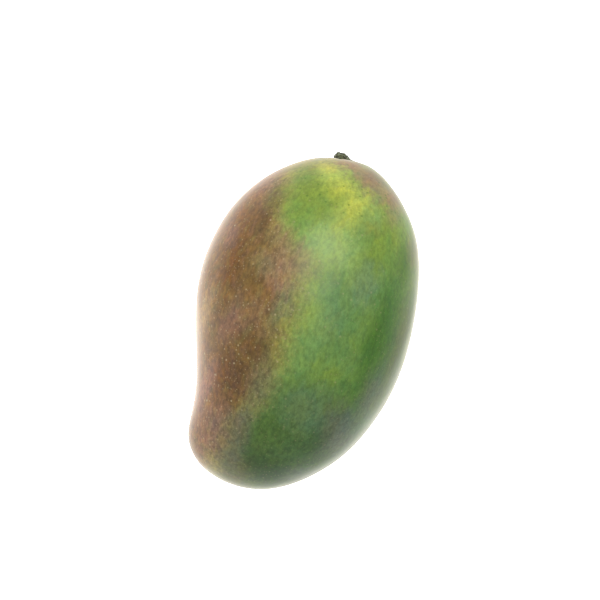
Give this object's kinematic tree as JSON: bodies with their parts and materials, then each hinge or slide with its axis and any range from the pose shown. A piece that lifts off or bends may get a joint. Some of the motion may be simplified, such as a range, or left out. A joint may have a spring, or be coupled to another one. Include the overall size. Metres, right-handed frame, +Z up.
{
  "type": "mango",
  "caption": "Whole mango with a blushed green skin and the stub of its stalk, lying on one cheek.",
  "frame": {"origin": "on the surface that the fruit lies on, below the middle of its outer box", "axes": "+Z up, +Y along the fruit towards the stalk, +X towards the back of the fruit, away from the beak"},
  "size_m": [0.0886, 0.1406, 0.0782],
  "materials": {
    "skin": "satin",
    "bark": "matte"
  },
  "bodies": {
    "root": {"mango_fruit": "skin", "stem_stub": "bark"}
  },
  "joints": []
}
